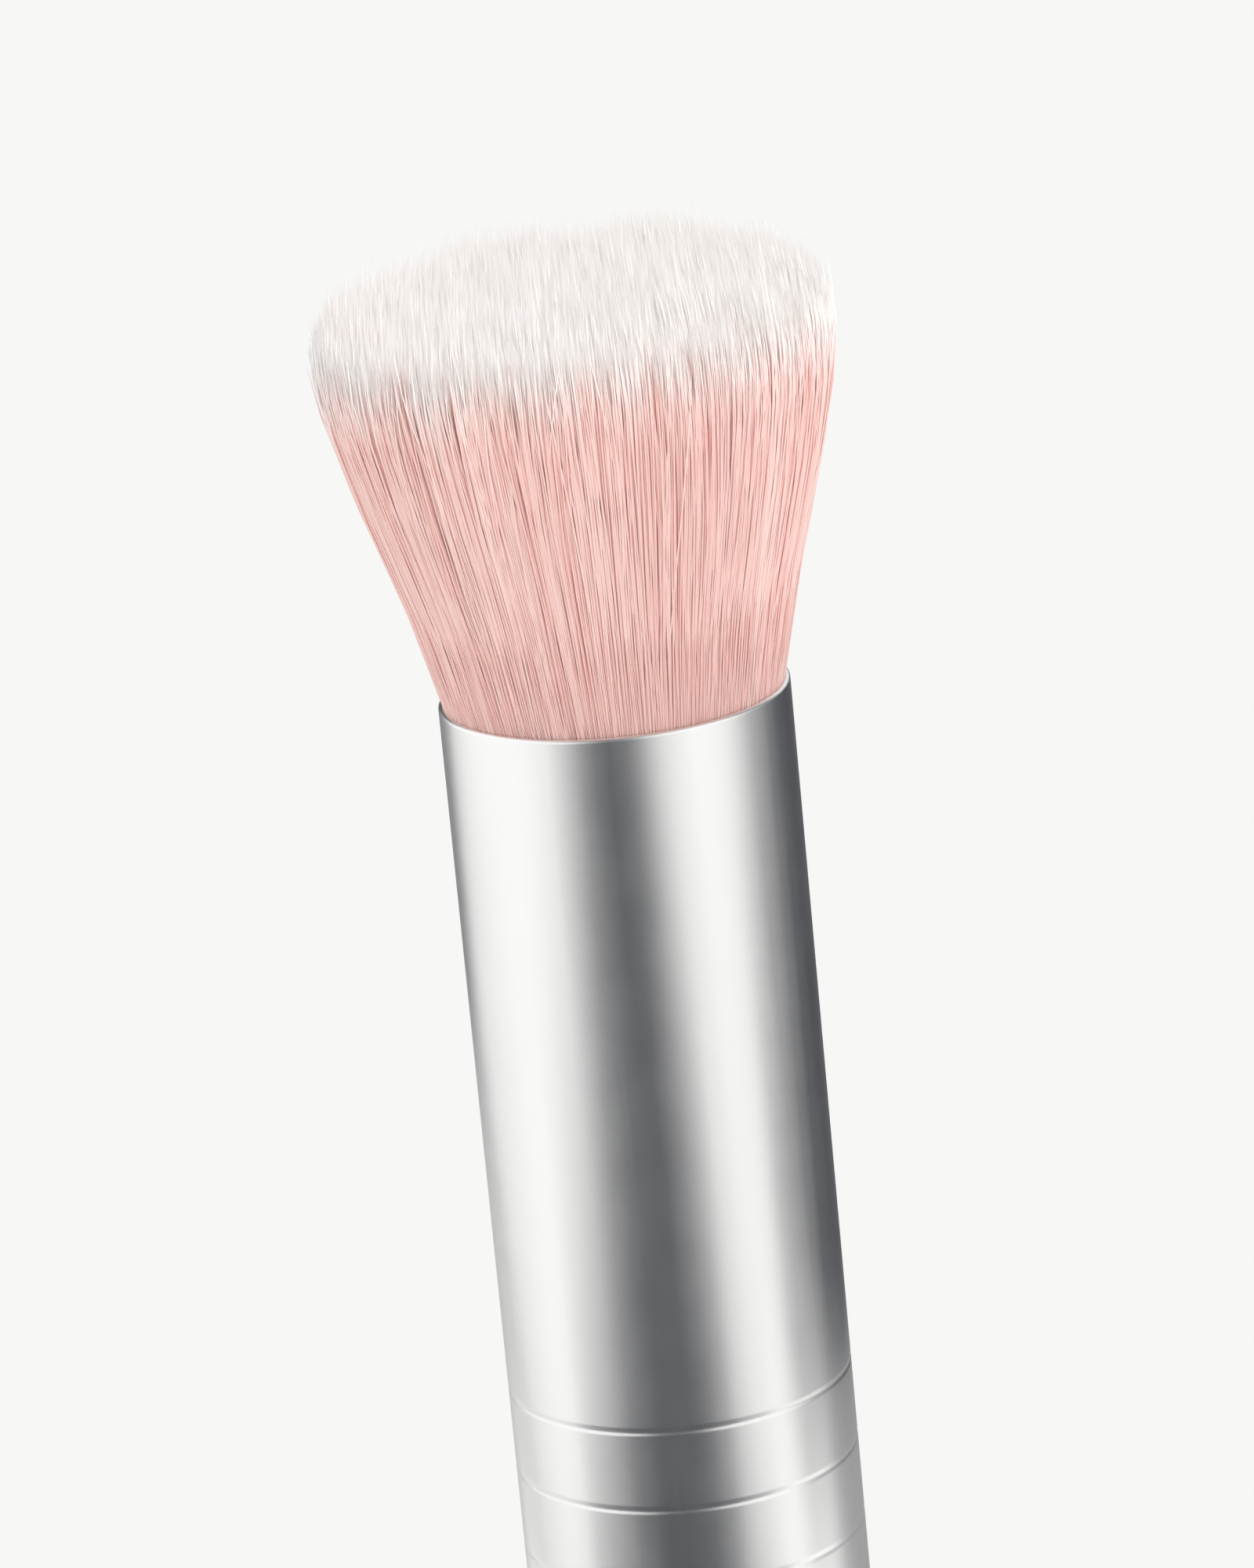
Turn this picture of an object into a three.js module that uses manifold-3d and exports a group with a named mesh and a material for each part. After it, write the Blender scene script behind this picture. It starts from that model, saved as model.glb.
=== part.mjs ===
// Blush brush: a flared tuft of dyed filaments in a crimped aluminium ferrule, joined by a
// wooden tenon to a tapered aluminium handle tube that ends in a flat cap.
// Millimetres, +Z up along the brush. The origin is the centre of the flat end it stands on.

import * as THREE from 'three';
import { mergeVertices } from 'three/addons/utils/BufferGeometryUtils.js';
import Module from 'manifold-3d';

// Fits shared by all pieces
const CLEARANCE = 0.2;
const SEAM_GAP = 0.3;

// Ferrule: a drawn tube with a rounded lip and crimp rings above its lower edge
const FERRULE_DIAMETER = 17;
const FERRULE_LENGTH = 48;
const FERRULE_WALL = 0.4;
const CRIMP_COUNT = 3;
const LAST_CRIMP_ABOVE_EDGE = 4.7;
const CRIMP_PITCH = 4.1;
const CRIMP_WIDTH = 0.5;
const CRIMP_DEPTH = 0.1;

// Handle: a tube that is flush with the ferrule and narrows towards its end cap
const HANDLE_TUBE_LENGTH = 102;
const HANDLE_END_DIAMETER = 13;
const HANDLE_WALL = 0.8;
const HANDLE_EDGE_CHAMFER = 0.25;
const CAP_THICKNESS = 3;
const CAP_EDGE_RADIUS = 0.9;
const CAP_SPIGOT_LENGTH = 9;

// Tenon: the dowel inside the joint of ferrule and handle
const TENON_IN_HANDLE = 30;
const TENON_CHAMFER = 0.8;

// Root of the tuft: the glued plug and the band of binding thread in its waist
const ROOT_PLUG_LENGTH = 12;
const BINDING_HEIGHT = 4.5;
const BINDING_THICKNESS = 0.7;
const MOUTH_RECESS = 1;
const BACKING_THICKNESS = 1.6;

// Tuft, measured up from the lip of the ferrule
const TUFT_LENGTH = 20;
const TUFT_CROWN = 0.85;
const TUFT_WIDEST_DIAMETER = 25;
const TUFT_TIP_DIAMETER = 23.1;
const TUFT_WIDEST_BELOW_TIPS = 4.6;
const STRAND_ROWS = 10;
const STRANDS_PER_ROW_STEP = 6;
const STRAND_SIDES = 4;
const STRAND_GAP = 0.2;
const STRAND_TIP_WIDTH = 0.75;
const ROW_TURN = 2.4; // radians from one row's first strand to the next row's

// Facets round the turned pieces, and steps along their curves
const OUTER_FACETS = 36;
const INNER_FACETS = 24;
const HANDLE_STEPS = 8;
const ARC_STEPS = 4;
const CRIMP_STEPS = 4;

const wasm = await Module();
wasm.setup();

// Heights and radii that several pieces share
const ferruleRadius = FERRULE_DIAMETER / 2;
const ferruleBore = ferruleRadius - FERRULE_WALL;
const tubeBottom = CAP_THICKNESS + SEAM_GAP;
const tubeTop = tubeBottom + HANDLE_TUBE_LENGTH;
const ferruleBottom = tubeTop + SEAM_GAP;
const rim = ferruleBottom + FERRULE_LENGTH;
const rootRadius = ferruleBore - CLEARANCE;
const backingTop = rim - MOUTH_RECESS;
const backingBottom = backingTop - BACKING_THICKNESS;
const plugTop = backingBottom - CLEARANCE;
const plugBottom = plugTop - ROOT_PLUG_LENGTH;
const tenonTop = plugBottom - CLEARANCE;

// A body of revolution about Z. The profile is a list of [radius, height], up the outside first.
function turned(profile, facets) {
  const points = profile.map(([radius, height]) => new THREE.Vector2(radius, height));
  return new THREE.LatheGeometry(points, facets).rotateX(Math.PI / 2);
}

// Points of a round edge about a centre, between two angles in degrees from the outward direction.
function arc(centreRadius, centreHeight, radius, from, to) {
  return Array.from({ length: ARC_STEPS + 1 }, (_, step) => {
    const angle = THREE.MathUtils.degToRad(from + ((to - from) * step) / ARC_STEPS);
    return [centreRadius + radius * Math.cos(angle), centreHeight + radius * Math.sin(angle)];
  });
}

// A straight wall of the given radius, from bottom to top through every crimp ring.
function crimpedWall(radius) {
  const points = [];
  for (let ring = 0; ring < CRIMP_COUNT; ring++) {
    const middle = ferruleBottom + LAST_CRIMP_ABOVE_EDGE + ring * CRIMP_PITCH;
    for (let step = 0; step <= CRIMP_STEPS; step++) {
      const across = step / CRIMP_STEPS - 0.5;
      const depth = (CRIMP_DEPTH * (1 + Math.cos(2 * Math.PI * across))) / 2;
      points.push([radius - depth, middle + across * CRIMP_WIDTH]);
    }
  }
  return points;
}

// Outer radius of the handle tube: level with the ferrule at the top, narrowing ever faster below.
function handleRadius(height) {
  const along = (height - tubeBottom) / HANDLE_TUBE_LENGTH;
  const endRadius = HANDLE_END_DIAMETER / 2;
  return endRadius + (ferruleRadius - endRadius) * Math.sin((along * Math.PI) / 2);
}

// Points of a wall that follows the handle tube at a depth under its surface, from bottom to top.
function handleWall(depth, bottom, top) {
  return Array.from({ length: HANDLE_STEPS + 1 }, (_, step) => {
    const height = bottom + ((top - bottom) * step) / HANDLE_STEPS;
    return [handleRadius(height) - depth, height];
  });
}

function ferrule() {
  const lip = FERRULE_WALL / 2;
  const lipCentre = ferruleRadius - lip;
  const profile = [
    [ferruleBore, ferruleBottom],
    [ferruleRadius, ferruleBottom],
    ...crimpedWall(ferruleRadius),
    ...arc(lipCentre, rim - lip, lip, 0, 180),
    ...crimpedWall(ferruleBore).reverse(),
    [ferruleBore, ferruleBottom],
  ];
  return turned(profile, OUTER_FACETS);
}

function handleTube() {
  const chamfer = HANDLE_EDGE_CHAMFER;
  const outer = handleWall(0, tubeBottom + chamfer, tubeTop - chamfer);
  const inner = handleWall(HANDLE_WALL, tubeBottom, tubeTop).reverse();
  const bottomEdge = [handleRadius(tubeBottom) - chamfer, tubeBottom];
  const topEdge = [handleRadius(tubeTop) - chamfer, tubeTop];
  return turned([bottomEdge, ...outer, topEdge, ...inner, bottomEdge], OUTER_FACETS);
}

function endCap() {
  const radius = handleRadius(tubeBottom);
  const spigotRadius = radius - HANDLE_WALL - CLEARANCE;
  const profile = [
    [0, 0],
    ...arc(radius - CAP_EDGE_RADIUS, CAP_EDGE_RADIUS, CAP_EDGE_RADIUS, -90, 0),
    [radius, CAP_THICKNESS - HANDLE_EDGE_CHAMFER],
    [radius - HANDLE_EDGE_CHAMFER, CAP_THICKNESS],
    [spigotRadius, CAP_THICKNESS],
    [spigotRadius, CAP_THICKNESS + CAP_SPIGOT_LENGTH],
    [0, CAP_THICKNESS + CAP_SPIGOT_LENGTH],
  ];
  return turned(profile, OUTER_FACETS);
}

// The dowel fills the handle's bore below its shoulder and the ferrule's bore above it, where
// grooves take the crimp rings.
function tenon() {
  const shoulder = tubeTop + CLEARANCE;
  const bottom = tubeTop - TENON_IN_HANDLE;
  const inHandle = handleWall(HANDLE_WALL + CLEARANCE, bottom + TENON_CHAMFER, tubeTop);
  const neckRadius = handleRadius(tubeTop) - HANDLE_WALL - CLEARANCE;
  const profile = [
    [0, bottom],
    [inHandle[0][0] - TENON_CHAMFER, bottom],
    ...inHandle,
    [neckRadius, shoulder],
    [rootRadius, shoulder],
    ...crimpedWall(rootRadius),
    [rootRadius, tenonTop - TENON_CHAMFER],
    [rootRadius - TENON_CHAMFER, tenonTop],
    [0, tenonTop],
  ];
  return turned(profile, INNER_FACETS);
}

const bindingMiddle = (plugBottom + plugTop) / 2;
const bindingBore = rootRadius - BINDING_THICKNESS;

function rootPlug() {
  const waistRadius = bindingBore - CLEARANCE;
  const waistHalf = BINDING_HEIGHT / 2 + CLEARANCE;
  const profile = [
    [0, plugBottom],
    [rootRadius, plugBottom],
    [rootRadius, bindingMiddle - waistHalf],
    [waistRadius, bindingMiddle - waistHalf],
    [waistRadius, bindingMiddle + waistHalf],
    [rootRadius, bindingMiddle + waistHalf],
    [rootRadius, plugTop],
    [0, plugTop],
  ];
  return turned(profile, INNER_FACETS);
}

function rootBinding() {
  const round = BINDING_THICKNESS / 2;
  const centre = bindingBore + round;
  const half = BINDING_HEIGHT / 2 - round;
  const profile = [
    ...arc(centre, bindingMiddle - half, round, -180, 0),
    ...arc(centre, bindingMiddle + half, round, 0, 180),
    [bindingBore, bindingMiddle - half],
  ];
  return turned(profile, INNER_FACETS);
}

// Tuft: rows of strands on rings about the axis, each row a fixed share of the tuft's radius at
// every height, so that the strands spread together and none cross.
const mouthRadius = rootRadius;
const widestRadius = TUFT_WIDEST_DIAMETER / 2;
const widestHeight = rim + TUFT_LENGTH - TUFT_WIDEST_BELOW_TIPS;

function tuftRadius(height) {
  const flare = (widestRadius - mouthRadius) / (widestHeight - rim);
  return mouthRadius + flare * (height - rim);
}

// A strand's width is measured across its corners. Its flats, which face in and out, lie nearer.
const flatReach = Math.cos(Math.PI / STRAND_SIDES) / 2;

// Width of a strand where the rows, with their gaps, fill a tuft of this radius.
function strandWidth(radius) {
  return (radius / STRAND_ROWS - STRAND_GAP) / (1 + flatReach / STRAND_ROWS);
}

// Distance between neighbouring rows where the tuft has this radius.
function rowPitch(radius, width) {
  return (radius - flatReach * width) / STRAND_ROWS;
}

// One straight-sided strand, upright in the glue and bent once more where the tuft is widest.
function strand(row, angle) {
  const rootSpread = tuftRadius(backingTop);
  const crown = TUFT_CROWN * (1 - (row / STRAND_ROWS) ** 2);
  const stations = [
    [backingTop - BACKING_THICKNESS / 2, rootSpread, strandWidth(rootSpread)],
    [backingTop, rootSpread, strandWidth(rootSpread)],
    [widestHeight, widestRadius, strandWidth(widestRadius)],
    [rim + TUFT_LENGTH + crown, TUFT_TIP_DIAMETER / 2, STRAND_TIP_WIDTH],
  ];
  const positions = [];
  for (const [height, radius, width] of stations) {
    const fromAxis = row * rowPitch(radius, width);
    for (let side = 0; side < STRAND_SIDES; side++) {
      const turn = angle + (2 * Math.PI * (side + 0.5)) / STRAND_SIDES;
      const x = fromAxis * Math.cos(angle) + (width / 2) * Math.cos(turn);
      const y = fromAxis * Math.sin(angle) + (width / 2) * Math.sin(turn);
      positions.push(x, y, height);
    }
  }
  return closedTube(positions, stations.length, STRAND_SIDES);
}

// A tube through rings of points, closed at both ends by a fan.
function closedTube(positions, rings, sides) {
  const triangles = [];
  for (let ring = 0; ring + 1 < rings; ring++) {
    for (let side = 0; side < sides; side++) {
      const low = ring * sides + side;
      const lowNext = ring * sides + ((side + 1) % sides);
      triangles.push(low, lowNext, lowNext + sides, low, lowNext + sides, low + sides);
    }
  }
  const last = (rings - 1) * sides;
  for (let side = 1; side + 1 < sides; side++) {
    triangles.push(0, side + 1, side);
    triangles.push(last, last + side, last + side + 1);
  }
  const geometry = new THREE.BufferGeometry();
  geometry.setAttribute('position', new THREE.Float32BufferAttribute(positions, 3));
  return geometry.setIndex(triangles);
}

function toSolid(geometry) {
  geometry.deleteAttribute('normal');
  geometry.deleteAttribute('uv');
  const merged = mergeVertices(geometry);
  return new wasm.Manifold(
    new wasm.Mesh({
      numProp: 3,
      vertProperties: new Float32Array(merged.attributes.position.array),
      triVerts: new Uint32Array(merged.index.array),
    }),
  );
}

function toGeometry(solid) {
  const mesh = solid.getMesh();
  const geometry = new THREE.BufferGeometry();
  geometry.setAttribute('position', new THREE.Float32BufferAttribute(mesh.vertProperties, 3));
  geometry.setIndex(Array.from(mesh.triVerts));
  geometry.computeVertexNormals();
  return geometry;
}

// The slice of glue that carries the rows from first to last: a disc for the core, else a ring.
function backing(first, last) {
  const radius = tuftRadius(backingTop);
  const pitch = rowPitch(radius, strandWidth(radius));
  const outer = last === STRAND_ROWS ? rootRadius : (last + 0.5) * pitch - CLEARANCE / 2;
  const inner = first === 0 ? 0 : (first - 0.5) * pitch + CLEARANCE / 2;
  const profile = [
    [inner, backingBottom],
    [outer, backingBottom],
    [outer, backingTop],
    [inner, backingTop],
  ];
  if (inner > 0) profile.push(profile[0]);
  return turned(profile, INNER_FACETS);
}

// One ring of the tuft: its rows of strands fused to their slice of glue.
function bristles(first, last) {
  let solid = toSolid(backing(first, last));
  for (let row = first; row <= last; row++) {
    const count = Math.max(1, row * STRANDS_PER_ROW_STEP);
    for (let place = 0; place < count; place++) {
      const angle = row * ROW_TURN + (2 * Math.PI * place) / count;
      solid = solid.add(toSolid(strand(row, angle)));
    }
  }
  return toGeometry(solid);
}

const blushBrush = new THREE.Group();

function addPiece(name, geometry, look) {
  const piece = new THREE.Mesh(geometry, new THREE.MeshStandardMaterial(look));
  piece.name = name;
  blushBrush.add(piece);
}

const SATIN_ALUMINIUM = { color: 0xd0d1d2, roughness: 0.3, metalness: 1 };
const TURNED_ALUMINIUM = { color: 0xd8d9da, roughness: 0.22, metalness: 1 };
const BEECH = { color: 0xd2ad7c, roughness: 0.7, metalness: 0 };
const GLUE = { color: 0xe4d9b8, roughness: 0.35, metalness: 0 };
const THREAD = { color: 0xf1ede6, roughness: 0.8, metalness: 0 };
const PINK_FILAMENT = { color: 0xefc5be, roughness: 0.55, metalness: 0 };

addPiece('end_cap', endCap(), TURNED_ALUMINIUM);
addPiece('handle_tube', handleTube(), SATIN_ALUMINIUM);
addPiece('tenon', tenon(), BEECH);
addPiece('ferrule', ferrule(), SATIN_ALUMINIUM);
addPiece('root_plug', rootPlug(), GLUE);
addPiece('root_binding', rootBinding(), THREAD);

// The tuft is parted into rings with about as many strands each.
const RING_NAMES = ['bristles_core', 'bristles_inner', 'bristles_middle', 'bristles_outer'];
let firstRow = 0;
RING_NAMES.forEach((name, ring) => {
  const lastRow = Math.round(STRAND_ROWS * Math.sqrt((ring + 1) / RING_NAMES.length));
  addPiece(name, bristles(firstRow, lastRow), PINK_FILAMENT);
  firstRow = lastRow + 1;
});

export default blushBrush;
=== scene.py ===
# %% [markdown]
# # A blush brush, dressed
#
# The brush exists as plain solids at their real size: a tuft of bristles, a crimped ferrule, a
# tapered handle tube, an end cap, and the tenon, glue and thread that hold them together. This
# lesson gives those solids their looks. Everything is in metres, and the brush stands on its flat
# end at the origin with +Z along it, so each new piece is simply made where its solid already is.

# %% Load the solids
import math

import bmesh
import bpy
import numpy as np
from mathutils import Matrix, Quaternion, Vector, kdtree


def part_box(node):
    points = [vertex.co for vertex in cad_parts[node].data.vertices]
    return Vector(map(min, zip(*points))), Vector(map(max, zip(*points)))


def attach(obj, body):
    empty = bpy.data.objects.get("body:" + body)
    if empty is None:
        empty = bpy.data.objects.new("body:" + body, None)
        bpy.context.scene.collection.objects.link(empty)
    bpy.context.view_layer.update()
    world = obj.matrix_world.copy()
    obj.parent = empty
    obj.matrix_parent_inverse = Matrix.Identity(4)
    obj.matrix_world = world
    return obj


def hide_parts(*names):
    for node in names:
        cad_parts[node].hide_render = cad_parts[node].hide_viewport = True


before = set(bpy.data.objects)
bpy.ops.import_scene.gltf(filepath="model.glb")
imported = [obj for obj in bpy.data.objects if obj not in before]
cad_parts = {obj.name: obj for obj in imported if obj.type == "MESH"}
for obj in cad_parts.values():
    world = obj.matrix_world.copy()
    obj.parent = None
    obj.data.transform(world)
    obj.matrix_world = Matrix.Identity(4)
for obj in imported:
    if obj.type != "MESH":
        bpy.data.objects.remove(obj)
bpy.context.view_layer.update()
scene = bpy.context.scene
MM = 0.001

# The studio lights these two groups separately.
metal = bpy.data.collections.new("Metal")
tuft = bpy.data.collections.new("Tuft")
scene.collection.children.link(metal)
scene.collection.children.link(tuft)
print("nodes:", ", ".join(sorted(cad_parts)))

# %% [markdown]
# ## The camera
#
# The photograph looks slightly down on the brush, through a long lens that hardly narrows the
# tube with distance, and the brush leans to the left in the picture. A camera could be dragged
# into place by eye. Here its height above the horizon, its roll and its distance are named, and
# one point of the brush, the middle of the ferrule's lip, is pinned to its pixel.

# %% Place the camera
IMAGE_WIDTH = 1600
IMAGE_HEIGHT = 2000
FOCAL_PIXELS = 9604
LIP_PIXEL = (783.3, 877.8)
VIEW_DISTANCE = 0.3618
VIEW_ELEVATION = math.radians(16.82)
VIEW_ROLL = math.radians(-5.5)
SENSOR_SIZE = 36
NEAREST_SEEN = 0.01

ferrule_low, ferrule_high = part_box("ferrule")
lip_centre = Vector((0, 0, ferrule_high.z))
backward = Vector((0, -math.cos(VIEW_ELEVATION), math.sin(VIEW_ELEVATION)))
camera_turn = backward.to_track_quat("Z", "Y") @ Quaternion((0, 0, 1), VIEW_ROLL)
lip_in_view = Vector((
    (LIP_PIXEL[0] - IMAGE_WIDTH / 2) / FOCAL_PIXELS,
    (IMAGE_HEIGHT / 2 - LIP_PIXEL[1]) / FOCAL_PIXELS,
    -1,
)) * VIEW_DISTANCE

lens = bpy.data.cameras.new("Camera")
lens.sensor_width = SENSOR_SIZE
lens.lens = FOCAL_PIXELS / IMAGE_HEIGHT * SENSOR_SIZE
lens.clip_start = NEAREST_SEEN
camera = bpy.data.objects.new("Camera", lens)
camera.rotation_mode = "QUATERNION"
camera.rotation_quaternion = camera_turn
camera.location = lip_centre - camera_turn @ lip_in_view
scene.collection.objects.link(camera)
scene.camera = camera
print("camera at", [round(x, 4) for x in camera.location], "lens", round(lens.lens, 1), "mm")

# %% [markdown]
# ## The studio
#
# Satin metal shows its surroundings more than its own colour. A plain bright room would leave it
# flat, so the room looks dim to reflections, and pale only steeply below, where the floor would be.
# The floor itself, as plain as paper, is hidden from them. Everything matt sees an even pale room
# instead. Pale filaments pass light on many times before it is lost, so light may bounce often.

# %% Paper floor
PAPER = (0.931, 0.931, 0.915)
ROOM_BRIGHT = 0.95
FLOOR_REACH = 6
BOUNCES = 16

scene.view_settings.view_transform = "Standard"
scene.cycles.max_bounces = BOUNCES
scene.cycles.diffuse_bounces = BOUNCES

bm = bmesh.new()
bmesh.ops.create_grid(bm, x_segments=1, y_segments=1, size=FLOOR_REACH)
floor_mesh = bpy.data.meshes.new("Floor")
bm.to_mesh(floor_mesh)
bm.free()
floor = bpy.data.objects.new("Floor", floor_mesh)
floor.visible_glossy = False
scene.collection.objects.link(floor)

paper = bpy.data.materials.new("Paper")
paper.use_nodes = True
paper_shader = paper.node_tree.nodes["Principled BSDF"]
paper_shader.inputs["Base Color"].default_value = (*[c / ROOM_BRIGHT for c in PAPER], 1)
paper_shader.inputs["Roughness"].default_value = 1
paper_shader.inputs["Specular IOR Level"].default_value = 0
floor_mesh.materials.append(paper)
print("floor reaches", FLOOR_REACH, "m to each side")

# %% Room
ROOM_DIM = (0.018, 0.0225, 0.033)
ROOM_BELOW = (0.75, 0.75, 0.74)
STEEP_FROM = math.radians(45)
STEEP_TO = math.radians(75)

room = bpy.data.worlds.new("Room")
room.use_nodes = True
scene.world = room
nodes, links = room.node_tree.nodes, room.node_tree.links
nodes.remove(nodes["Background"])
path = nodes.new("ShaderNodeLightPath")
way = nodes.new("ShaderNodeTexCoord")
upward = nodes.new("ShaderNodeSeparateXYZ")
steep = nodes.new("ShaderNodeMapRange")
steep.interpolation_type = "SMOOTHSTEP"
steep.inputs["From Min"].default_value = -math.sin(STEEP_FROM)
steep.inputs["From Max"].default_value = -math.sin(STEEP_TO)
links.new(way.outputs["Generated"], upward.inputs["Vector"])
links.new(upward.outputs["Z"], steep.inputs["Value"])


def backdrop(colour, strength=1.0):
    """An even glow of one colour."""
    glow = nodes.new("ShaderNodeBackground")
    glow.inputs["Color"].default_value = (*colour, 1)
    glow.inputs["Strength"].default_value = strength
    return glow.outputs["Background"]


def choose(factor, first, second):
    """The first glow where the factor is 0, and the second where it is 1."""
    mix = nodes.new("ShaderNodeMixShader")
    links.new(factor, mix.inputs["Fac"])
    links.new(first, mix.inputs[1])
    links.new(second, mix.inputs[2])
    return mix.outputs["Shader"]


pale = backdrop((1, 1, 1), ROOM_BRIGHT)
mirrored = choose(steep.outputs["Result"], backdrop(ROOM_DIM), backdrop(ROOM_BELOW))
unmirrored = choose(path.outputs["Is Camera Ray"], pale, backdrop(PAPER))
seen = choose(path.outputs["Is Glossy Ray"], unmirrored, mirrored)
links.new(seen, nodes["World Output"].inputs["Surface"])
print("room strength", ROOM_BRIGHT, "for matt surfaces and", ROOM_DIM, "in reflections")

# %% [markdown]
# ## Panels and cards
#
# The picture's ferrule has a broad bright band on the left and a narrower one on the right, with
# soft dark bands between and beside them. Photographers make such bands with tall soft panels, and
# so does this studio. The panels stand close and are narrower low down, which is why the bright
# bands draw in towards the lower end of the tube, and weaker cards light its edges. They shine on
# the metal alone. Three large panels further off shine on the tuft alone, so that either can be set
# without upsetting the other.

# %% Soft panels
WARM_WHITE = (1.0, 0.992, 0.962)


def add_panel(name, facing, middle, width, height, radiance, lights):
    """A soft light at a place, facing back along a direction, that lights one collection only."""
    light = bpy.data.lights.new(name, "AREA")
    light.shape = "RECTANGLE"
    light.size = width
    light.size_y = height
    light.energy = radiance * math.pi * width * height
    light.color = WARM_WHITE
    panel = bpy.data.objects.new(name, light)
    panel.location = middle
    panel.rotation_mode = "QUATERNION"
    panel.rotation_quaternion = facing.to_track_quat("Z", "Y")
    panel.visible_camera = False
    panel.light_linking.receiver_collection = lights
    scene.collection.objects.link(panel)


def direction(azimuth, elevation=0):
    """Away from the brush. Azimuth 0 is towards the camera, 90 is to the camera's right."""
    turn = math.radians(azimuth)
    lift = math.radians(elevation)
    level = math.cos(lift)
    return Vector((math.sin(turn) * level, -math.cos(turn) * level, math.sin(lift)))


def upright_panel(name, azimuths, distance, bottom, top, radiance):
    """A panel for the metal that spans two azimuths, as the brush sees it, and two heights."""
    facing = direction(sum(azimuths) / 2)
    middle = facing * distance + Vector((0, 0, (bottom + top) / 2))
    width = 2 * distance * math.tan(math.radians(azimuths[1] - azimuths[0]) / 2)
    add_panel(name, facing, middle, width, top - bottom, radiance, metal)


def fill_panel(name, azimuth, elevation, distance, width, height, radiance):
    """A panel for the tuft, placed by its direction and distance from the ferrule's lip."""
    facing = direction(azimuth, elevation)
    add_panel(name, facing, lip_centre + facing * distance, width, height, radiance, tuft)


upright_panel("Left panel", (-137, -24), distance=0.2, bottom=0.07, top=0.5, radiance=1.09)
upright_panel("Lower left panel", (-138, -40), distance=0.2, bottom=0.03, top=0.07, radiance=1.07)
upright_panel("Low left card", (-147, -73), distance=0.2, bottom=-0.04, top=0.03, radiance=0.88)
upright_panel("Left edge card", (-169, -141), distance=0.2, bottom=-0.04, top=0.07, radiance=0.5)
upright_panel("Right panel", (15, 86), distance=0.2, bottom=0.07, top=0.5, radiance=1.12)
upright_panel("Lower right panel", (32, 77), distance=0.2, bottom=0.015, top=0.07, radiance=1.12)
upright_panel("Low right card", (58, 112), distance=0.2, bottom=-0.04, top=0.015, radiance=1.1)
upright_panel("Right edge card", (84, 110), distance=0.2, bottom=0.078, top=0.5, radiance=0.34)
upright_panel("Lower right edge card", (84, 110), distance=0.2, bottom=0.02, top=0.078, radiance=0.09)
upright_panel("Near right card", (92, 168), distance=0.045, bottom=0.05, top=0.103, radiance=0.32)
upright_panel("Near low card", (68, 100), distance=0.045, bottom=0.05, top=0.1, radiance=0.42)
upright_panel("Back right card", (125, 179), distance=0.2, bottom=0.17, top=0.4, radiance=0.9)
fill_panel("Front fill", azimuth=15, elevation=18, distance=0.5, width=0.4, height=0.5, radiance=0.72)
fill_panel("Left fill", azimuth=-75, elevation=15, distance=0.5, width=0.5, height=0.5, radiance=0.35)
fill_panel("Top fill", azimuth=60, elevation=60, distance=0.45, width=0.5, height=0.5, radiance=1.5)

# %% [markdown]
# ## Writing finishes
#
# A finish is a small tree of nodes. Adding nodes one by one is long-winded, so a helper holds the
# tree: it adds a node with its settings and inputs, and hands back an output as a Signal. Sums and
# products of Signals add the Math nodes by themselves.

# %% A helper for finishes
class Signal:
    """A number that varies over a surface. Arithmetic on it adds Math nodes."""

    def __init__(self, finish, socket):
        self.finish = finish
        self.socket = socket

    def math(self, operation, first, second):
        return self.finish.node("ShaderNodeMath", {"operation": operation}, {0: first, 1: second})

    def __add__(self, other):
        return self.math("ADD", self, other)

    def __radd__(self, other):
        return self.math("ADD", other, self)

    def __sub__(self, other):
        return self.math("SUBTRACT", self, other)

    def __rsub__(self, other):
        return self.math("SUBTRACT", other, self)

    def __mul__(self, other):
        return self.math("MULTIPLY", self, other)

    def __rmul__(self, other):
        return self.math("MULTIPLY", other, self)


class Finish:
    """A material with one Principled shader, and a way to add the nodes that feed it."""

    def __init__(self, name):
        self.material = bpy.data.materials.new(name)
        self.material.use_nodes = True
        self.tree = self.material.node_tree
        self.shader = self.tree.nodes["Principled BSDF"]

    def node(self, kind, settings, inputs, output=0):
        made = self.tree.nodes.new(kind)
        for name, value in settings.items():
            setattr(made, name, value)
        for name, value in inputs.items():
            self.feed(made.inputs[name], value)
        return Signal(self, made.outputs[output])

    def feed(self, socket, value):
        if isinstance(value, Signal):
            self.tree.links.new(value.socket, socket)
        else:
            socket.default_value = value

    def shade(self, **inputs):
        for name, value in inputs.items():
            self.feed(self.shader.inputs[name.replace("_", " ")], value)
        return self.material

    def place(self, stretch=(1, 1, 1)):
        """Object coordinates, stretched."""
        spot = self.node("ShaderNodeTexCoord", {}, {}, "Object")
        return self.node("ShaderNodeMapping", {}, {"Vector": spot, "Scale": stretch})

    def noise(self, place, scale, detail=2.0):
        return self.node("ShaderNodeTexNoise", {}, {"Vector": place, "Scale": scale, "Detail": detail})

    def ramp(self, value, low, high, to_low=0.0, to_high=1.0):
        """Eases from to_low to to_high while the value goes from low to high."""
        inputs = {"Value": value, "From Min": low, "From Max": high, "To Min": to_low, "To Max": to_high}
        return self.node("ShaderNodeMapRange", {"interpolation_type": "SMOOTHSTEP"}, inputs)

    def blend(self, amount, first, second):
        """A colour between two colours. A Mix node has its colours at sockets 6 and 7, and out at 2."""
        return self.node("ShaderNodeMix", {"data_type": "RGBA"}, {0: amount, 6: first, 7: second}, 2)

    def bump(self, height, strength, distance):
        inputs = {"Height": height, "Strength": strength, "Distance": distance}
        return self.node("ShaderNodeBump", {}, inputs)


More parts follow.
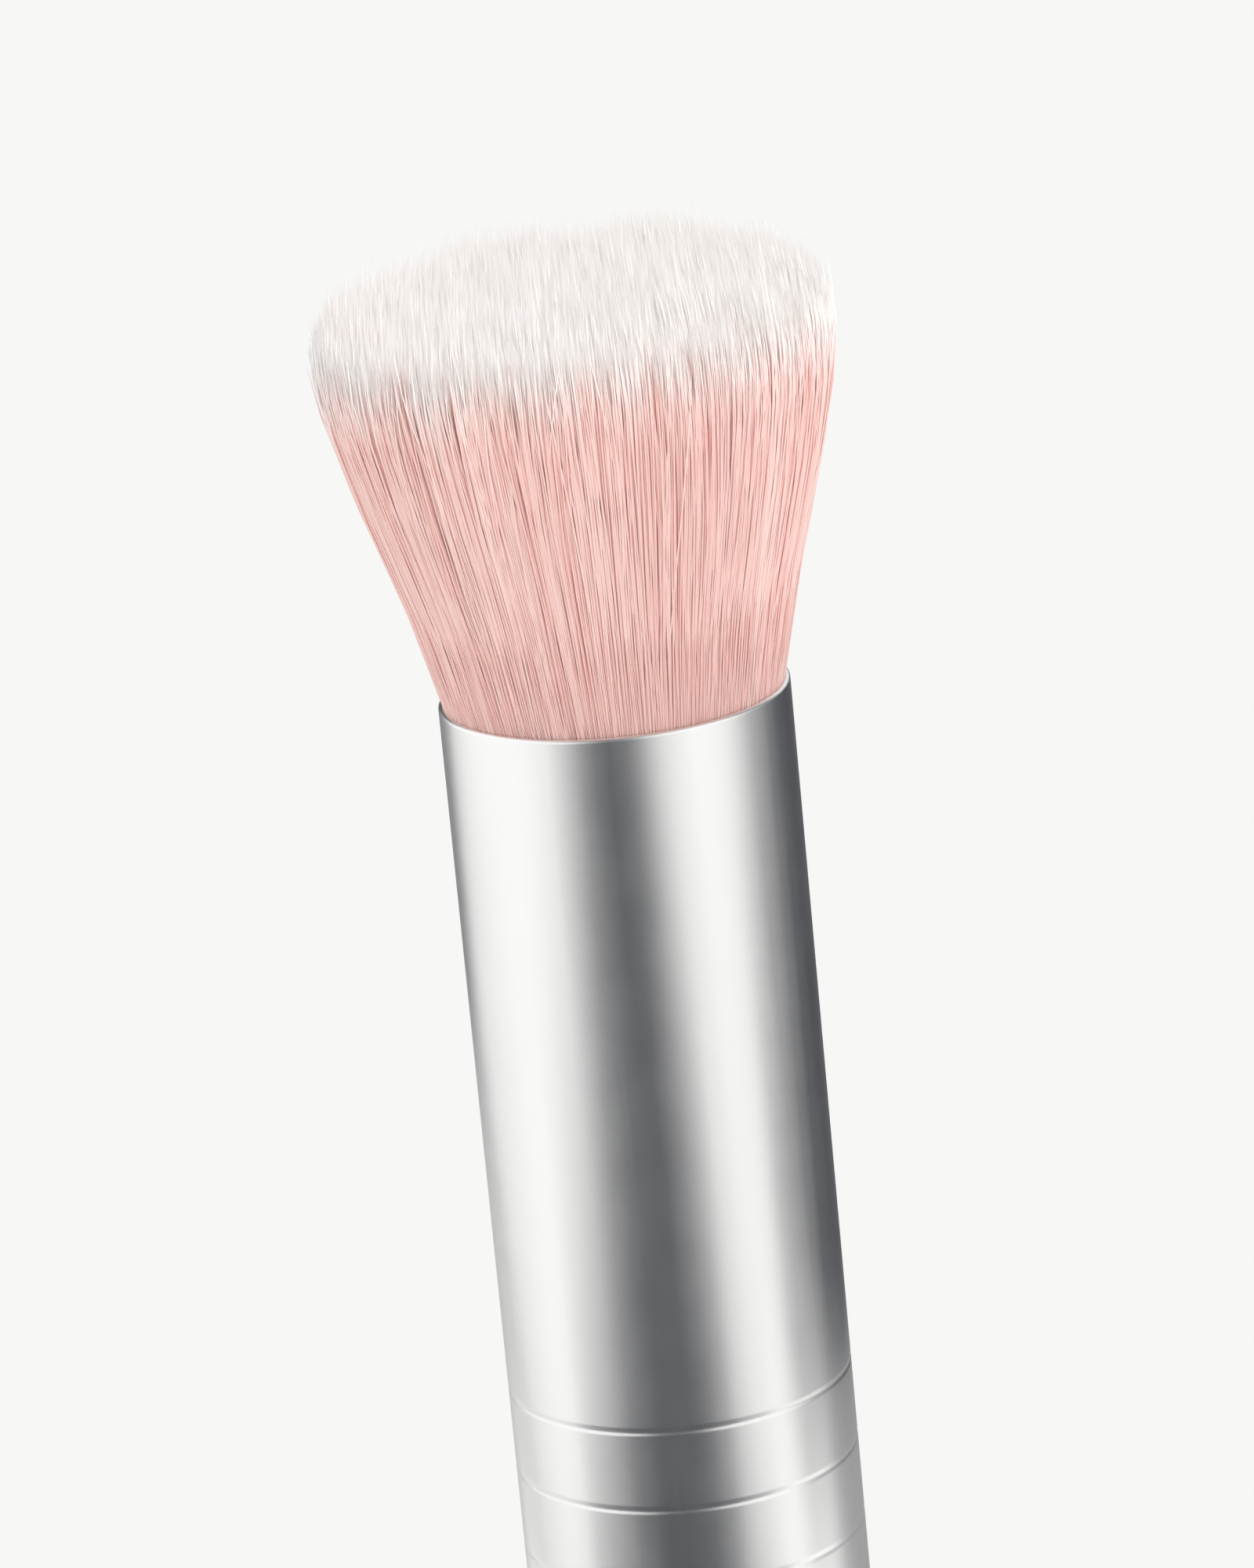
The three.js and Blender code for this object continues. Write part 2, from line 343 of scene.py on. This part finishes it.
def rgb(red, green, blue):
    """A colour from the 0 to 255 numbers of a picture, as the linear values that shaders take.

    The curve holds for all but nearly black colours, which no finish here has.
    """
    linear = [((c / 255 + 0.055) / 1.055) ** 2.4 for c in (red, green, blue)]
    return (*linear, 1)


# %% [markdown]
# ## Satin aluminium
#
# The ferrule is drawn tube with a satin anodised skin. Its colour is nearly even. What makes it
# metal is the soft, slightly uneven gloss: a fine grain, and faint streaks along the tube from
# drawing. Both are kept very slight, in the roughness and in a bump of a micron or two. On the
# turned cap the streaks run round it instead.

# %% Finish: satin aluminium
def satin_aluminium(name, roughness, streak_stretch):
    finish = Finish(name)
    streaks = finish.noise(finish.place(streak_stretch), scale=1.0, detail=3.0)
    clouds = finish.noise(finish.place(), scale=350.0, detail=3.0)
    grain = finish.noise(finish.place(), scale=9000.0, detail=2.0)
    colour = finish.blend(clouds, rgb(240, 240, 241), rgb(245, 245, 245))
    gloss = roughness + 0.07 * (streaks - 0.5) + 0.05 * (clouds - 0.5)
    relief = grain + 0.5 * streaks
    normal = finish.bump(relief, strength=0.06, distance=0.02 * MM)
    return finish.shade(Base_Color=colour, Metallic=1.0, Roughness=gloss, Normal=normal)


drawn_aluminium = satin_aluminium("Satin aluminium", 0.35, (1800, 1800, 40))
turned_aluminium = satin_aluminium("Turned aluminium", 0.36, (120, 120, 9000))
print("finishes:", drawn_aluminium.name, "and", turned_aluminium.name)

# %% [markdown]
# ## Turned pieces
#
# Ferrule, handle and cap are all round about the brush's axis. The quickest way to such a shape is
# to draw half of its section as a chain of points and spin it round. Corners are drawn sharp and
# then bevelled as whole rings, so that each rounded edge is set by one width. A weighted-normal
# modifier keeps the long walls shaded flat along their length beside those small bevels.

# %% Helpers for turned pieces
TURN_STEPS = 128
SAME_PLACE = 1e-7
NEAR_ENOUGH = 1e-6


def spin_section(section, closed):
    """Spins a chain of (radius, height) points about the Z axis."""
    bm = bmesh.new()
    corners = [bm.verts.new((radius, 0, height)) for radius, height in section]
    pairs = list(zip(corners, corners[1:]))
    if closed:
        pairs.append((corners[-1], corners[0]))
    chain = [bm.edges.new(pair) for pair in pairs]
    bmesh.ops.spin(
        bm, geom=corners + chain, cent=(0, 0, 0), axis=(0, 0, 1),
        angle=2 * math.pi, steps=TURN_STEPS, use_merge=True,
    )
    bmesh.ops.remove_doubles(bm, verts=bm.verts, dist=SAME_PLACE)
    bmesh.ops.recalc_face_normals(bm, faces=bm.faces)
    return bm


def round_rings(bm, corners, width, segments):
    """Bevels the ring edges that lie at the given (radius, height) corners."""
    def is_at(vert, corner):
        radius = math.hypot(vert.co.x, vert.co.y)
        return abs(radius - corner[0]) < NEAR_ENOUGH and abs(vert.co.z - corner[1]) < NEAR_ENOUGH

    rings = [e for e in bm.edges if any(all(is_at(v, c) for v in e.verts) for c in corners)]
    bmesh.ops.bevel(
        bm, geom=rings, offset=width, offset_type="OFFSET", segments=segments,
        profile=0.5, affect="EDGES", material=-1,
    )


def add_piece(name, mesh, group, material, node):
    """Makes a mesh a piece of the brush that stands for one of its solids."""
    mesh.materials.append(material)
    mesh.shade_smooth()
    piece = bpy.data.objects.new(name, mesh)
    group.objects.link(piece)
    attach(piece, "root")
    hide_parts(node)
    return piece


def add_turned_piece(name, bm, material, node):
    """Makes a spun shape a piece of the metal group."""
    mesh = bpy.data.meshes.new(name)
    bm.to_mesh(mesh)
    bm.free()
    piece = add_piece(name, mesh, metal, material, node)
    even = piece.modifiers.new("Even shading", "WEIGHTED_NORMAL")
    even.keep_sharp = True
    low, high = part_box(node)
    print(name, "faces", len(mesh.polygons), "for a solid", round((high.z - low.z) / MM, 1), "mm high")


# %% [markdown]
# ## The ferrule
#
# A thin drawn tube. Its lip is the round edge of the sheet itself, and three crimp rings near the
# lower end lock it to the wooden tenon inside. They could be painted on, but a real groove catches
# the light as a tool mark does. Each one is a shallow V, steeper below than above.

# %% Ferrule
SHEET = 0.4 * MM
CRIMP_ABOVE_EDGE = 4.7 * MM
CRIMP_PITCH = 4.1 * MM
CRIMP_COUNT = 3
CRIMP_ABOVE = 0.26 * MM
CRIMP_BELOW = 0.14 * MM
CRIMP_DEPTH = 0.026 * MM
CRIMP_ROUND = 0.055 * MM
LIP_ROUND = 0.19 * MM
FOOT_ROUND = 0.12 * MM
SEAM = 0.1 * MM  # the shells reach this much further into the seams than their solids

ferrule_radius = ferrule_high.x
ferrule_foot = ferrule_low.z - SEAM
lip = ferrule_high.z
crimp_heights = [ferrule_low.z + CRIMP_ABOVE_EDGE + k * CRIMP_PITCH for k in range(CRIMP_COUNT)]

outside = [(ferrule_radius, ferrule_foot)]
for height in crimp_heights:
    outside += [
        (ferrule_radius, height - CRIMP_BELOW),
        (ferrule_radius - CRIMP_DEPTH, height),
        (ferrule_radius, height + CRIMP_ABOVE),
    ]
outside.append((ferrule_radius, lip))
inside = [(ferrule_radius - SHEET, lip), (ferrule_radius - SHEET, ferrule_foot)]

bm = spin_section(outside + inside, closed=True)
round_rings(bm, [outside[-1], inside[0]], width=LIP_ROUND, segments=5)
round_rings(bm, outside[1:-1], width=CRIMP_ROUND, segments=3)
round_rings(bm, [outside[0]], width=FOOT_ROUND, segments=3)
add_turned_piece("ferrule_shell", bm, drawn_aluminium, "ferrule")

# %% [markdown]
# ## The handle
#
# The handle carries on the line of the ferrule and narrows gently to its end. Its outline is a
# quarter of a sine wave, level where it meets the ferrule and steepest at the end cap. The solid's
# own box gives its height, and the end cap's gives the radius that it narrows to.

# %% Handle tube
HANDLE_WALL = 0.8 * MM
HANDLE_STEPS = 24
EDGE_ROUND = 0.2 * MM

tube_low, tube_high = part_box("handle_tube")
cap_low, cap_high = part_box("end_cap")
end_radius = cap_high.x
tube_foot = tube_low.z - SEAM
tube_head = tube_high.z + SEAM


def handle_radius(height):
    """Outer radius of the handle at a height."""
    along = (height - tube_low.z) / (tube_high.z - tube_low.z)
    return end_radius + (ferrule_radius - end_radius) * math.sin(along * math.pi / 2)


heights = np.linspace(tube_foot, tube_head, HANDLE_STEPS + 1)
outside = [(handle_radius(z), z) for z in heights]
inside = [(radius - HANDLE_WALL, z) for radius, z in reversed(outside)]
bm = spin_section(outside + inside, closed=True)
round_rings(bm, [outside[0], outside[-1]], width=EDGE_ROUND, segments=4)
add_turned_piece("handle_sleeve", bm, drawn_aluminium, "handle_tube")

# %% [markdown]
# ## The end cap
#
# A turned plug: a flat foot with a rounded edge for the brush to stand on, and a spigot that goes up
# into the tube. It is spun like the tubes, but its section starts and ends on the axis.

# %% End cap
CAP_THICKNESS = 3 * MM
CAP_ROUND = 0.9 * MM
SPIGOT_CLEARANCE = 0.2 * MM

spigot_radius = end_radius - HANDLE_WALL - SPIGOT_CLEARANCE
section = [
    (0, 0),
    (end_radius, 0),
    (end_radius, CAP_THICKNESS),
    (spigot_radius, CAP_THICKNESS),
    (spigot_radius, cap_high.z),
    (0, cap_high.z),
]
bm = spin_section(section, closed=False)
round_rings(bm, [section[1]], width=CAP_ROUND, segments=8)
round_rings(bm, [section[2], section[4]], width=EDGE_ROUND, segments=4)
add_turned_piece("cap_plug", bm, turned_aluminium, "end_cap")

# %% [markdown]
# ## What is hidden inside
#
# The tenon, the glued root and the binding thread keep the shapes of their solids. At most the tenon
# is glimpsed, in the seam, but each still has its own finish: growth rings in the beech, cloudy
# glue, and close turns of thread.

# %% Finishes: beech, glue and thread
def beech():
    finish = Finish("Beech")
    warp = finish.noise(finish.place((60, 60, 8)), scale=1.0, detail=3.0)
    rings = finish.node("ShaderNodeTexWave", {"wave_type": "RINGS", "rings_direction": "Z"}, {
        "Vector": finish.place((300, 300, 12)), "Scale": 1.0, "Distortion": 3.0, "Detail": 2.0,
    }, "Fac")
    flecks = finish.noise(finish.place((3000, 3000, 250)), scale=1.0, detail=1.0)
    tone = 0.6 * rings + 0.3 * warp + 0.2 * flecks
    colour = finish.blend(tone, rgb(186, 142, 92), rgb(222, 188, 140))
    return finish.shade(Base_Color=colour, Roughness=0.75 - 0.15 * flecks,
                        Normal=finish.bump(flecks, strength=0.3, distance=0.1 * MM))


def glue():
    finish = Finish("Glue")
    clouds = finish.noise(finish.place(), scale=400.0, detail=4.0)
    colour = finish.blend(clouds, rgb(214, 200, 160), rgb(236, 226, 196))
    return finish.shade(Base_Color=colour, Roughness=0.25 + 0.2 * clouds)


def thread():
    finish = Finish("Thread")
    turns = finish.node("ShaderNodeTexWave", {"bands_direction": "Z"}, {
        "Vector": finish.place(), "Scale": 500.0, "Distortion": 0.4,
    }, "Fac")
    colour = finish.blend(turns, rgb(206, 198, 186), rgb(244, 240, 233))
    return finish.shade(Base_Color=colour, Roughness=0.85 - 0.1 * turns,
                        Normal=finish.bump(turns, strength=0.6, distance=0.2 * MM))


for node, material in (("tenon", beech()), ("root_plug", glue()), ("root_binding", thread())):
    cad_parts[node].data.materials.clear()
    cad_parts[node].data.materials.append(material)
    print(node, "wears", material.name)

# %% [markdown]
# ## The tuft
#
# The real tuft is thousands of fine filaments, packed tight in the ferrule, that spread as they
# rise and cling together in wisps, and the wisps in locks. Blender's hair would do for a picture,
# but a mesh can be kept and exported, so every filament is a thin tapering tube of its own. First
# come the filaments' places: a sunflower pattern fills the ferrule's mouth evenly, a skirt of more
# filaments closes its outside, and two coarser sunflowers place the wisps and the locks.

# %% Scatter filaments
FILLING = 28000
SKIRT = 8000
SKIRT_FROM = 0.93
FILLING_JITTER = 0.008
SEED = 11
GOLDEN_ANGLE = math.pi * (3 - math.sqrt(5))
EVEN_STEPS = (0.7548776662, 0.5698402910)  # fill a square evenly, point by point

rng = np.random.default_rng(SEED)


def sunflower(count, jitter):
    """Points spread evenly over a disc of radius 1, from its middle outwards."""
    order = np.arange(count)
    reach = np.sqrt((order + 0.5) / count)
    turn = order * GOLDEN_ANGLE
    points = np.stack([reach * np.cos(turn), reach * np.sin(turn)], axis=1)
    return points + rng.normal(0, jitter, points.shape)


skirt_order = np.arange(SKIRT)
skirt_turn = 2 * math.pi * (skirt_order * EVEN_STEPS[0] % 1)
skirt_share = skirt_order * EVEN_STEPS[1] % 1
skirt_reach = np.sqrt(SKIRT_FROM ** 2 + (1 - SKIRT_FROM ** 2) * skirt_share)
skirt = np.stack([np.cos(skirt_turn), np.sin(skirt_turn)], axis=1) * skirt_reach[:, None]
filling = sunflower(FILLING, jitter=FILLING_JITTER)
filling /= np.maximum(np.linalg.norm(filling, axis=1, keepdims=True), 1)
roots = np.concatenate([filling, skirt])
FILAMENTS = len(roots)
reach = np.linalg.norm(roots, axis=1)
outward = roots / reach[:, None]
sideways = np.stack([-outward[:, 1], outward[:, 0]], axis=1)
print(FILAMENTS, "filaments, the outermost at", round(float(reach.max()), 3), "of the mouth's radius")

# %% Gather them in wisps and locks
LOCKS = 520
LOCK_JITTER = 0.016
WISPS = 3200
WISP_JITTER = 0.006


def nearest(middles, spots):
    """For each spot, the number of the middle that is nearest to it."""
    tree = kdtree.KDTree(len(middles))
    for number, (x, y) in enumerate(middles):
        tree.insert((x, y, 0), number)
    tree.balance()
    return np.array([tree.find((x, y, 0))[1] for x, y in spots])


lock_middle = sunflower(LOCKS, jitter=LOCK_JITTER)
wisp_middle = sunflower(WISPS, jitter=WISP_JITTER)
wisp = nearest(wisp_middle, roots)
lock = nearest(lock_middle, wisp_middle)[wisp]
print(len(np.unique(wisp)), "wisps in", len(np.unique(lock)), "locks")

# %% [markdown]
# ## Shape of the tuft
#
# The tuft leaves the mouth, spills a little over the lip, flares in a nearly straight line and
# curls in again just below its tips. It sways a little to the left, and its tips make a low dome
# that is worn on that side. All lengths in this step are millimetres.

# %% Outline of the tuft
MOUTH_RADIUS = 8.25
FLARE = 6.6
FLARE_START = 0.08
CURL = 2.2
CURL_POWER = 5
SWAY = 0.45
TUFT_LENGTH = 20.6
CROWN = 0.6
TILT = 0.35
WORN_LEFT = 0.25
SHOULDER = 1.2
SHOULDER_POWER = 10


def tuft_radius(height):
    """Radius of the tuft at a height above the lip, both in millimetres."""
    along = np.clip(height / TUFT_LENGTH, 0, 1.05)
    spread = np.hypot(along, FLARE_START) - FLARE_START
    return MOUTH_RADIUS + FLARE * spread - CURL * along ** CURL_POWER


leftness = np.clip(-outward[:, 0], 0, 1)
even_length = TUFT_LENGTH + CROWN * (1 - reach ** 2) + TILT * roots[:, 0]
even_length -= WORN_LEFT * reach ** 3 * leftness ** 2
print("tuft", round(2 * float(tuft_radius(np.linspace(0, TUFT_LENGTH)).max()), 1), "mm at its widest")

# %% [markdown]
# ## Locks, wisps and strays
#
# A lock or a wisp draws its filaments together as they rise and leans its own way. Wisps also weave
# from side to side and in and out, so that the gaps between them stay short. If the whole tuft
# parted like this, one would look deep into dark gaps, so only the outermost layer follows fully.
# Each filament has a slight bend, lean and length of its own, and a few stray further.

# %% Habits of locks, wisps and filaments
STRAY_SHARE = 0.05
FOLLOW_REACH = (0.97, 0.99)
FOLLOW_SHARE = (0.25, 1.0)

# Pulls are shares of the way to the middle, turns and phases are whole waves, tones are plain
# numbers, and all the rest are millimetres.
lock_pull = rng.uniform(0.02, 0.09, LOCKS)
lock_lean = rng.normal(0, 0.08, LOCKS)
lock_swing = rng.normal(0, 0.05, LOCKS)
lock_proud = rng.normal(0, 0.025, LOCKS)
lock_length = rng.normal(0, 0.35, LOCKS)
lock_dye = rng.normal(0, 0.4, LOCKS)
lock_tone = rng.normal(0, 1, LOCKS)
wisp_pull = rng.uniform(0.02, 0.16, WISPS)
wisp_lean = rng.normal(0, 0.06, WISPS)
wisp_proud = rng.normal(0, 0.015, WISPS)
wisp_length = rng.normal(0, 0.25, WISPS)
wisp_dye = rng.normal(0, 0.5, WISPS)
wisp_tone = rng.normal(0, 1, WISPS)
wisp_turns = rng.uniform(0.7, 1.5, WISPS)
wisp_phase = rng.uniform(0, 1, WISPS)
wisp_rise = rng.normal(0, 0.03, WISPS)
wisp_drift = rng.normal(0, 0.06, WISPS)
follow = np.interp(reach, FOLLOW_REACH, FOLLOW_SHARE)

length = even_length - SHOULDER * reach ** SHOULDER_POWER
length += lock_length[lock] + wisp_length[wisp] + rng.normal(0, 0.25, FILAMENTS)
length -= rng.exponential(0.6, FILAMENTS)
stray = rng.uniform(0, 1, FILAMENTS) < STRAY_SHARE
length += stray * rng.uniform(0, 0.9, FILAMENTS)
side_bend = rng.normal(0, 0.07, FILAMENTS)
out_bend = rng.normal(0, 0.03, FILAMENTS)
side_lean = rng.normal(0, np.where(stray, 1.0, 0.28))
out_lean = rng.normal(0, 0.08, FILAMENTS) + 0.15 * stray
print("tips from", round(length.min(), 1), "to", round(length.max(), 1), "mm above the lip")

# %% Paths of the filaments
LOCK_FROM = 0.1
TUCK = 0.95
TUCK_POWER = 8


def paths_through(stations):
    """Where each filament passes, for stations given as shares of its length above the lip.

    Below the lip the outermost filaments lean in, clear of the ferrule's wall.
    """
    paths = np.empty((FILAMENTS, len(stations), 3))
    for number, along in enumerate(stations):
        height = along * length
        rise = max(along, 0)
        gathered = max(rise - LOCK_FROM, 0) / (1 - LOCK_FROM)
        drawn = follow * gathered * (1 - 0.5 * gathered ** 2)
        spot = roots + (lock_middle[lock] - roots) * (lock_pull[lock] * drawn)[:, None]
        spot += (wisp_middle[wisp] - roots) * (wisp_pull[wisp] * drawn)[:, None]
        flat = spot * tuft_radius(height)[:, None]
        swing = math.sin(math.pi * rise)
        wave = np.sin(2 * math.pi * (wisp_turns * rise + wisp_phase))
        weave = follow * wave[wisp] * min(1, 3 * rise)
        lean = follow * (lock_lean[lock] + wisp_lean[wisp]) + side_lean
        bend = follow * lock_swing[lock] + side_bend
        across = lean * rise ** 1.5 + bend * swing + wisp_drift[wisp] * weave
        proud = (lock_proud[lock] + wisp_proud[wisp]) * reach ** 4 * min(1, 2 * rise)
        out = out_lean * rise ** 2 + out_bend * swing + proud + wisp_rise[wisp] * weave
        flat += sideways * across[:, None] + outward * out[:, None]
        flat -= outward * (TUCK * np.maximum(-height, 0) * reach ** TUCK_POWER)[:, None]
        flat[:, 0] -= SWAY * rise
        paths[:, number, :2] = flat
        paths[:, number, 2] = height
    paths *= MM
    paths[:, :, 2] += lip
    return paths


# %% [markdown]
# ## Dye
#
# The shafts are pink and the tips white, with a soft border that wanders from lock to lock and
# from wisp to wisp. It lies higher at the front than at the sides. An image could hold the colours,
# but here each filament carries its own dye coordinates in a UV map: U is its shade, in a few dozen
# steps, and V is its place along the dye, with the border at a fixed V.

# %% Dye coordinates
WHITE_AT_SIDE = 4.6
WHITE_AT_FRONT = 2.6
WHITE_INSIDE = 3.3
BORDER_V = 0.75
DYE_REACH = 26.0
SHADES = 64
SKIN_REACH = (0.9, 0.975)
LOCK_TONE = 0.11
WISP_TONE = 0.10
OWN_TONE = 0.06
STRAY_TONE = 0.25
V_LIMITS = (0.01, 0.99)

frontness = np.clip(-outward[:, 1], 0, 1)
white = WHITE_AT_SIDE + (WHITE_AT_FRONT - WHITE_AT_SIDE) * frontness ** 1.5 * reach ** 3
skin = np.interp(reach, SKIN_REACH, (0.0, 1.0))
white = WHITE_INSIDE + (white - WHITE_INSIDE) * skin
border = even_length - white + lock_dye[lock] + wisp_dye[wisp] + rng.normal(0, 0.2, FILAMENTS)
tone = 0.5 + LOCK_TONE * lock_tone[lock] + WISP_TONE * wisp_tone[wisp]
tone += OWN_TONE * rng.normal(0, 1, FILAMENTS)
tone = np.clip(tone + STRAY_TONE * stray, 0, 0.999)
column = np.floor(tone * SHADES) / SHADES
print("shades in use:", len(np.unique(column)), "white tips", round(float(white.mean()), 1), "mm deep")


def dye_at(stations):
    """Dye coordinate V of each filament at the stations."""
    along = stations[None, :] * length[:, None] - border[:, None]
    return np.clip(BORDER_V + along / DYE_REACH, *V_LIMITS)


# %% [markdown]
# ## Filament finish
#
# Synthetic filament is smooth and slightly glossy. The colour comes from the dye coordinates alone:
# a pale and a deeper pink by shade, white past the border, and painted shade, a dusky pink, down at
# the roots where the light is lost between the filaments.

# %% Finish: dyed filament
FADE_BELOW = 0.105
FADE_ABOVE = 0.095
# Painted shade: how far up the shafts a dusky pink is laid over the dye, and how strongly, standing in
# for the light lost between the filaments near the roots.
PAINTED_ROOT_SHADE_FROM = 0.05
PAINTED_ROOT_SHADE_TO = 0.35
PAINTED_ROOT_SHADE = 0.2


def dyed_filament():
    finish = Finish("Dyed filament")
    dye = finish.node("ShaderNodeUVMap", {"uv_map": "OFBake"}, {})
    shade = finish.node("ShaderNodeSeparateXYZ", {}, {"Vector": dye}, "X")
    along = finish.node("ShaderNodeSeparateXYZ", {}, {"Vector": dye}, "Y")
    pink = finish.blend(shade, rgb(245, 202, 195), rgb(251, 222, 216))
    # Painted shade at the roots: strongest low on the shafts and fading out higher up.
    deep = finish.ramp(along, PAINTED_ROOT_SHADE_FROM, PAINTED_ROOT_SHADE_TO, PAINTED_ROOT_SHADE, 0.0)
    pink = finish.blend(deep, pink, rgb(235, 188, 183))
    tip = finish.blend(shade, rgb(252, 247, 245), rgb(254, 251, 250))
    whiteness = finish.ramp(along, BORDER_V - FADE_BELOW, BORDER_V + FADE_ABOVE)
    colour = finish.blend(whiteness, pink, tip)
    return finish.shade(Base_Color=colour, Roughness=0.42 + 0.12 * shade, Specular_IOR_Level=0.2)


filament_finish = dyed_filament()
print("finish:", filament_finish.name)

# %% [markdown]
# ## From paths to meshes
#
# A curve with a bevel is the simplest tube in Blender: one poly spline for each filament, with a
# radius at each point that runs out to nothing at both ends. The bevel with no extra resolution has
# four sides, which is plenty for something about a tenth of a millimetre thick. The tuft is parted
# into rings like its solids. Only the outer ring shows its shafts, so only its filaments are fine
# and have many stations. It is made as three meshes to keep each one light. Inside, only the tips
# show, and thicker filaments fill the space.

# %% Tubes for the filaments
THICK = 0.060 * MM
FINE = 0.042 * MM
SIDES = 4
AROUND = np.array([0.0, 0.5, 1.0, 0.5]) / SHADES  # U of the sides, within their shade's column
MERGE = 1e-8
TAPER_AT = (0, 0.4, 0.8, 1.0)
TAPER_TO = (0.62, 1.0, 1.12, 0.7)
FEW_STATIONS = np.array([-0.06, 0.4, 0.86, 1.0])
SOME_STATIONS = np.array([-0.06, 0.3, 0.6, 0.88, 1.0])
MORE_STATIONS = np.array([-0.05, 0.0, 0.3, 0.6, 0.85, 1.0])
MANY_STATIONS = np.array([-0.05, 0.0, 0.2, 0.4, 0.6, 0.78, 0.9, 1.0])


def taper(stations):
    """Thickness of a filament at the stations: slimmer at the root, and pointed at both ends."""
    thickness = np.interp(stations, TAPER_AT, TAPER_TO)
    thickness[[0, -1]] = 0
    return thickness


def strands(name, chosen, stations, radius):
    """One mesh of the chosen filaments, with their dye coordinates as its UV map."""
    curve = bpy.data.curves.new(name, "CURVE")
    curve.dimensions = "3D"
    curve.bevel_depth = radius
    curve.bevel_resolution = 0
    ones = np.ones((len(stations), 1))
    thickness = taper(stations)
    for path in paths_through(stations)[chosen]:
        spline = curve.splines.new("POLY")
        spline.points.add(len(stations) - 1)
        spline.points.foreach_set("co", np.hstack([path, ones]).ravel())
        spline.points.foreach_set("radius", thickness)
    holder = bpy.data.objects.new(name, curve)
    tuft.objects.link(holder)
    depsgraph = bpy.context.evaluated_depsgraph_get()
    mesh = bpy.data.meshes.new_from_object(holder.evaluated_get(depsgraph))
    bpy.data.objects.remove(holder)
    bpy.data.curves.remove(curve)
    mesh.name = name

    shape = (len(chosen), len(stations), SIDES)
    u = np.broadcast_to(column[chosen][:, None, None] + AROUND[None, None, :], shape)
    v = np.broadcast_to(dye_at(stations)[chosen][:, :, None], shape)
    spots = np.stack([u.ravel(), v.ravel()], axis=1)
    corners = np.empty(len(mesh.loops), np.int32)
    mesh.loops.foreach_get("vertex_index", corners)
    mesh.uv_layers.new(name="OFBake").data.foreach_set("uv", spots[corners].ravel())
    bm = bmesh.new()
    bm.from_mesh(mesh)
    bmesh.ops.remove_doubles(bm, verts=bm.verts, dist=MERGE)
    bmesh.ops.recalc_face_normals(bm, faces=bm.faces)
    bm.to_mesh(mesh)
    bm.free()
    return mesh


# %% Build the tuft
CORE_END = 9000
INNER_END = 16000
MIDDLE_END = 24200

order = np.argsort(reach[:FILLING])
left_skirt = FILLING + np.flatnonzero(skirt[:, 0] < 0)
right_skirt = FILLING + np.flatnonzero(skirt[:, 0] >= 0)
PARTS = (
    ("tuft_core", "bristles_core", order[:CORE_END], FEW_STATIONS, THICK),
    ("tuft_inner", "bristles_inner", order[CORE_END:INNER_END], FEW_STATIONS, THICK),
    ("tuft_middle", "bristles_middle", order[INNER_END:MIDDLE_END], SOME_STATIONS, THICK),
    ("tuft_outer", "bristles_outer", order[MIDDLE_END:], MORE_STATIONS, FINE),
    ("tuft_skirt_left", "bristles_outer", left_skirt, MANY_STATIONS, FINE),
    ("tuft_skirt_right", "bristles_outer", right_skirt, MANY_STATIONS, FINE),
)
for name, node, chosen, stations, radius in PARTS:
    mesh = strands(name, chosen, stations, radius)
    add_piece(name, mesh, tuft, filament_finish, node)
    print(name, len(chosen), "filaments", len(mesh.polygons), "faces")
